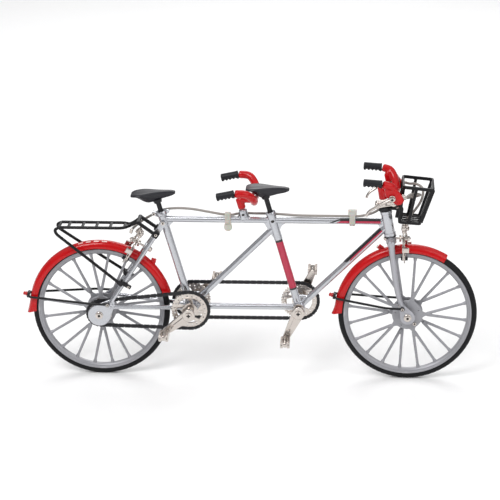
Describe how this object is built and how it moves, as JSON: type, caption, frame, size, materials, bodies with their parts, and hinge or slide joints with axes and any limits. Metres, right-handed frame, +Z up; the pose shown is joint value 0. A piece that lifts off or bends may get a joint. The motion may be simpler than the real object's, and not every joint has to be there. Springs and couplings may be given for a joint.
{
  "type": "tandem bicycle model",
  "caption": "Display model of a tandem bicycle: one-piece frame, spoked wheels, mudguards, rear carrier, front basket, timing and drive chains, and working steering, cranks, pedals and brakes.",
  "frame": {"origin": "on the ground under the rear axle, in the bicycle's middle plane", "axes": "+X forwards, +Y to the rider's left, +Z up"},
  "size_m": [0.2374, 0.048, 0.1132],
  "materials": {
    "frame_silver": "bright silver lacquer on die-cast metal",
    "wheel_grey": "matt grey moulded plastic",
    "tyre_black": "matt black rubber with fine tread",
    "gloss_red": "gloss red lacquer",
    "satin_black": "satin black paint",
    "nickel": "bright warm nickel plating",
    "saddle_black": "smooth satin black saddle skin",
    "grip_black": "black soft grip with finger notches",
    "cable_grey": "grey-brown flexible cable sheath",
    "clip_clear": "milky translucent silicone"
  },
  "bodies": {
    "frame": {"frame": "frame_silver", "rear_axle": "nickel", "rear_fender": "gloss_red", "rear_fender_stay": "satin_black", "rear_fender_knob": "gloss_red", "rack": "satin_black", "drive_chain": "satin_black", "sync_chain": "satin_black", "rear_brake_bolt": "nickel", "rear_brake_cable": "cable_grey", "cable_clip_rear": "clip_clear", "cable_clip_front": "clip_clear", "stoker_handlebar": "gloss_red", "stoker_grip_right": "grip_black", "stoker_grip_left": "grip_black"},
    "steering": {"fork": "wheel_grey", "headset_lower": "satin_black", "basket_bracket": "satin_black", "captain_stem": "nickel", "captain_handlebar": "gloss_red", "captain_grip_right": "grip_black", "captain_grip_left": "grip_black", "lever_screw_right": "nickel", "lever_screw_left": "nickel", "basket": "satin_black", "front_fender": "gloss_red", "front_fender_stay": "satin_black", "front_fender_knob": "gloss_red", "front_axle": "nickel", "front_brake_bolt": "nickel", "front_brake_cable": "cable_grey", "rear_cable_lead": "cable_grey"},
    "rear_wheel_set": {"rear_wheel": "wheel_grey", "rear_tyre": "tyre_black", "rear_sprocket": "nickel"},
    "front_wheel_set": {"front_wheel": "wheel_grey", "front_tyre": "tyre_black"},
    "stoker_cranks": {"stoker_spindle": "nickel", "stoker_crank_right": "nickel", "stoker_crank_left": "nickel", "stoker_sync_ring": "nickel", "drive_ring": "nickel"},
    "captain_cranks": {"captain_spindle": "nickel", "captain_crank_right": "nickel", "captain_crank_left": "nickel", "captain_sync_ring": "nickel"},
    "stoker_pedal_right_body": {"stoker_pedal_right": "nickel"},
    "stoker_pedal_left_body": {"stoker_pedal_left": "nickel"},
    "captain_pedal_right_body": {"captain_pedal_right": "nickel"},
    "captain_pedal_left_body": {"captain_pedal_left": "nickel"},
    "lever_right_body": {"brake_lever_right": "nickel"},
    "lever_left_body": {"brake_lever_left": "nickel"},
    "front_arm_right_body": {"front_brake_arm_right": "nickel"},
    "front_arm_left_body": {"front_brake_arm_left": "nickel"},
    "rear_arm_right_body": {"rear_brake_arm_right": "nickel"},
    "rear_arm_left_body": {"rear_brake_arm_left": "nickel"},
    "stoker_seat": {"stoker_saddle": "saddle_black", "stoker_seat_post": "satin_black"},
    "captain_seat": {"captain_saddle": "saddle_black", "captain_seat_post": "satin_black"}
  },
  "joints": [
    {"name": "steering_turn", "type": "hinge", "parent": "frame", "child": "steering", "pos_m": [0.15035, 0, 0.0786], "axis": [-0.1834, 0, 0.983], "range_deg": [-35, 35]},
    {"name": "front_wheel_spin", "type": "hinge", "parent": "steering", "child": "front_wheel_set", "pos_m": [0.16, 0, 0.036], "axis": [0, 1, 0], "continuous": true},
    {"name": "rear_wheel_spin", "type": "hinge", "parent": "frame", "child": "rear_wheel_set", "pos_m": [0, 0, 0.036], "axis": [0, 1, 0], "continuous": true},
    {"name": "stoker_cranks_spin", "type": "hinge", "parent": "frame", "child": "stoker_cranks", "pos_m": [0.047, 0, 0.0383], "axis": [0, 1, 0], "continuous": true},
    {"name": "captain_cranks_spin", "type": "hinge", "parent": "frame", "child": "captain_cranks", "pos_m": [0.1035, 0, 0.0385], "axis": [0, 1, 0], "continuous": true},
    {"name": "stoker_pedal_right_spin", "type": "hinge", "parent": "stoker_cranks", "child": "stoker_pedal_right_body", "pos_m": [0.03462, 0, 0.02897], "axis": [0, 1, 0], "continuous": true},
    {"name": "stoker_pedal_left_spin", "type": "hinge", "parent": "stoker_cranks", "child": "stoker_pedal_left_body", "pos_m": [0.05938, 0, 0.04763], "axis": [0, 1, 0], "continuous": true},
    {"name": "captain_pedal_right_spin", "type": "hinge", "parent": "captain_cranks", "child": "captain_pedal_right_body", "pos_m": [0.09695, 0, 0.02445], "axis": [0, 1, 0], "continuous": true},
    {"name": "captain_pedal_left_spin", "type": "hinge", "parent": "captain_cranks", "child": "captain_pedal_left_body", "pos_m": [0.11005, 0, 0.05255], "axis": [0, 1, 0], "continuous": true},
    {"name": "brake_lever_right_pull", "type": "hinge", "parent": "steering", "child": "lever_right_body", "pos_m": [0.1508, -0.0166, 0.1034], "axis": [0, 1, 0], "range_deg": [0, 18], "stiffness_Nm_per_rad": 0.0005, "springref_deg": -17.19},
    {"name": "brake_lever_left_pull", "type": "hinge", "parent": "steering", "child": "lever_left_body", "pos_m": [0.1508, 0.0166, 0.1034], "axis": [0, 1, 0], "range_deg": [0, 18], "stiffness_Nm_per_rad": 0.0005, "springref_deg": -17.19},
    {"name": "front_brake_arm_right_close", "type": "hinge", "parent": "steering", "child": "front_arm_right_body", "pos_m": [0.1566, 0, 0.077], "axis": [1, 0, 0], "range_deg": [0, 2.4]},
    {"name": "front_brake_arm_left_close", "type": "hinge", "parent": "steering", "child": "front_arm_left_body", "pos_m": [0.1566, 0, 0.077], "axis": [-1, 0, 0], "range_deg": [0, 2.4]},
    {"name": "rear_brake_arm_right_close", "type": "hinge", "parent": "frame", "child": "rear_arm_right_body", "pos_m": [0.0196, 0, 0.073], "axis": [0.866, 0, -0.5], "range_deg": [0, 2.4]},
    {"name": "rear_brake_arm_left_close", "type": "hinge", "parent": "frame", "child": "rear_arm_left_body", "pos_m": [0.0196, 0, 0.073], "axis": [-0.866, 0, 0.5], "range_deg": [0, 2.4]},
    {"name": "stoker_seat_slide", "type": "slide", "parent": "frame", "child": "stoker_seat", "axis": [-0.2735, 0, 0.9619], "range_m": [-0.003, 0.004]},
    {"name": "captain_seat_slide", "type": "slide", "parent": "frame", "child": "captain_seat", "axis": [-0.2742, 0, 0.9617], "range_m": [0, 0.004]}
  ],
  "couplings": [
    {"joint": "stoker_cranks_spin", "follows": "rear_wheel_spin", "ratio": 0.6579},
    {"joint": "captain_cranks_spin", "follows": "rear_wheel_spin", "ratio": 0.6579},
    {"joint": "front_brake_arm_right_close", "follows": "brake_lever_left_pull", "ratio": 0.13333},
    {"joint": "front_brake_arm_left_close", "follows": "brake_lever_left_pull", "ratio": 0.13333},
    {"joint": "rear_brake_arm_right_close", "follows": "brake_lever_right_pull", "ratio": 0.13333},
    {"joint": "rear_brake_arm_left_close", "follows": "brake_lever_right_pull", "ratio": 0.13333}
  ]
}
